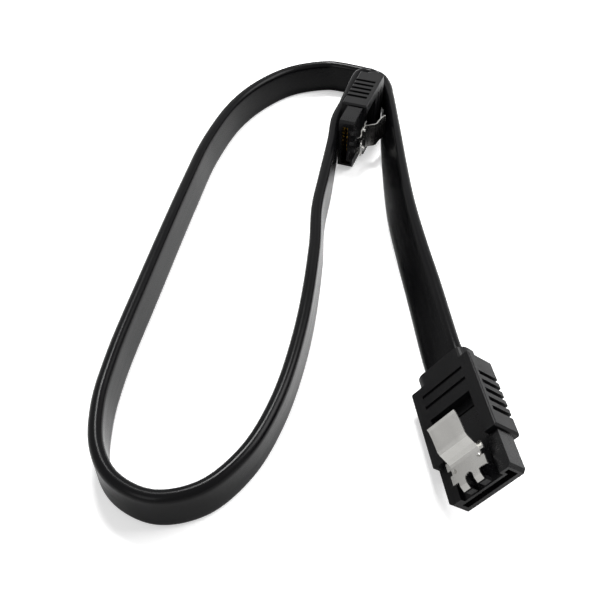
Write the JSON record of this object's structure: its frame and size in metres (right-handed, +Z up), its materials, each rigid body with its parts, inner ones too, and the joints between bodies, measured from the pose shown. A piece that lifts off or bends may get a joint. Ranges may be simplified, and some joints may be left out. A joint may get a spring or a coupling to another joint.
{
  "type": "sata data cable",
  "caption": "Flat black data cable lying in an open loop, with a straight keyed receptacle, a ribbed grip and a press latch on each end.",
  "frame": {"origin": "on the surface that the cable lies on, under the middle of the box around the two connectors", "axes": "+Z up; +Y from the connector that lies in front towards the one behind; +X to the right of that, so that the loop of cable is on the -X side"},
  "size_m": [0.0786, 0.1497, 0.0167],
  "materials": {
    "jacket": "satin black soft PVC",
    "grip": "fine satin black moulded PVC",
    "housing": "semi-gloss black moulded plastic",
    "latch": "bright rolled stainless spring steel",
    "contact": "gold plate",
    "foil": "smooth foil",
    "drain_wire": "tinned copper",
    "signal_wire": "natural white insulation"
  },
  "bodies": {
    "cable_and_connectors": {"cable_jacket": "jacket", "shielded_pair_1": "foil", "shielded_pair_2": "foil", "near_grip": "grip", "near_receptacle_housing": "housing", "near_contact_1": "contact", "near_drain_wire_1": "drain_wire", "near_contact_2": "contact", "near_signal_wire_2": "signal_wire", "near_contact_3": "contact", "near_signal_wire_3": "signal_wire", "near_contact_4": "contact", "near_drain_wire_4": "drain_wire", "near_contact_5": "contact", "near_signal_wire_5": "signal_wire", "near_contact_6": "contact", "near_signal_wire_6": "signal_wire", "near_contact_7": "contact", "near_drain_wire_7": "drain_wire", "far_grip": "grip", "far_receptacle_housing": "housing", "far_contact_1": "contact", "far_drain_wire_1": "drain_wire", "far_contact_2": "contact", "far_signal_wire_2": "signal_wire", "far_contact_3": "contact", "far_signal_wire_3": "signal_wire", "far_contact_4": "contact", "far_drain_wire_4": "drain_wire", "far_contact_5": "contact", "far_signal_wire_5": "signal_wire", "far_contact_6": "contact", "far_signal_wire_6": "signal_wire", "far_contact_7": "contact", "far_drain_wire_7": "drain_wire"},
    "near_latch": {"near_latch_spring": "latch"},
    "far_latch": {"far_latch_spring": "latch"}
  },
  "joints": [
    {"name": "near_latch_press", "type": "hinge", "parent": "cable_and_connectors", "child": "near_latch", "pos_m": [0.00538, -0.06616, 0.01123], "axis": [-0.6217, -0.1115, -0.7753], "range_deg": [0, 8], "stiffness_Nm_per_rad": 0.02},
    {"name": "far_latch_press", "type": "hinge", "parent": "cable_and_connectors", "child": "far_latch", "pos_m": [-0.00946, 0.0381, 0.00775], "axis": [0, 0, 1], "range_deg": [0, 8], "stiffness_Nm_per_rad": 0.02}
  ]
}
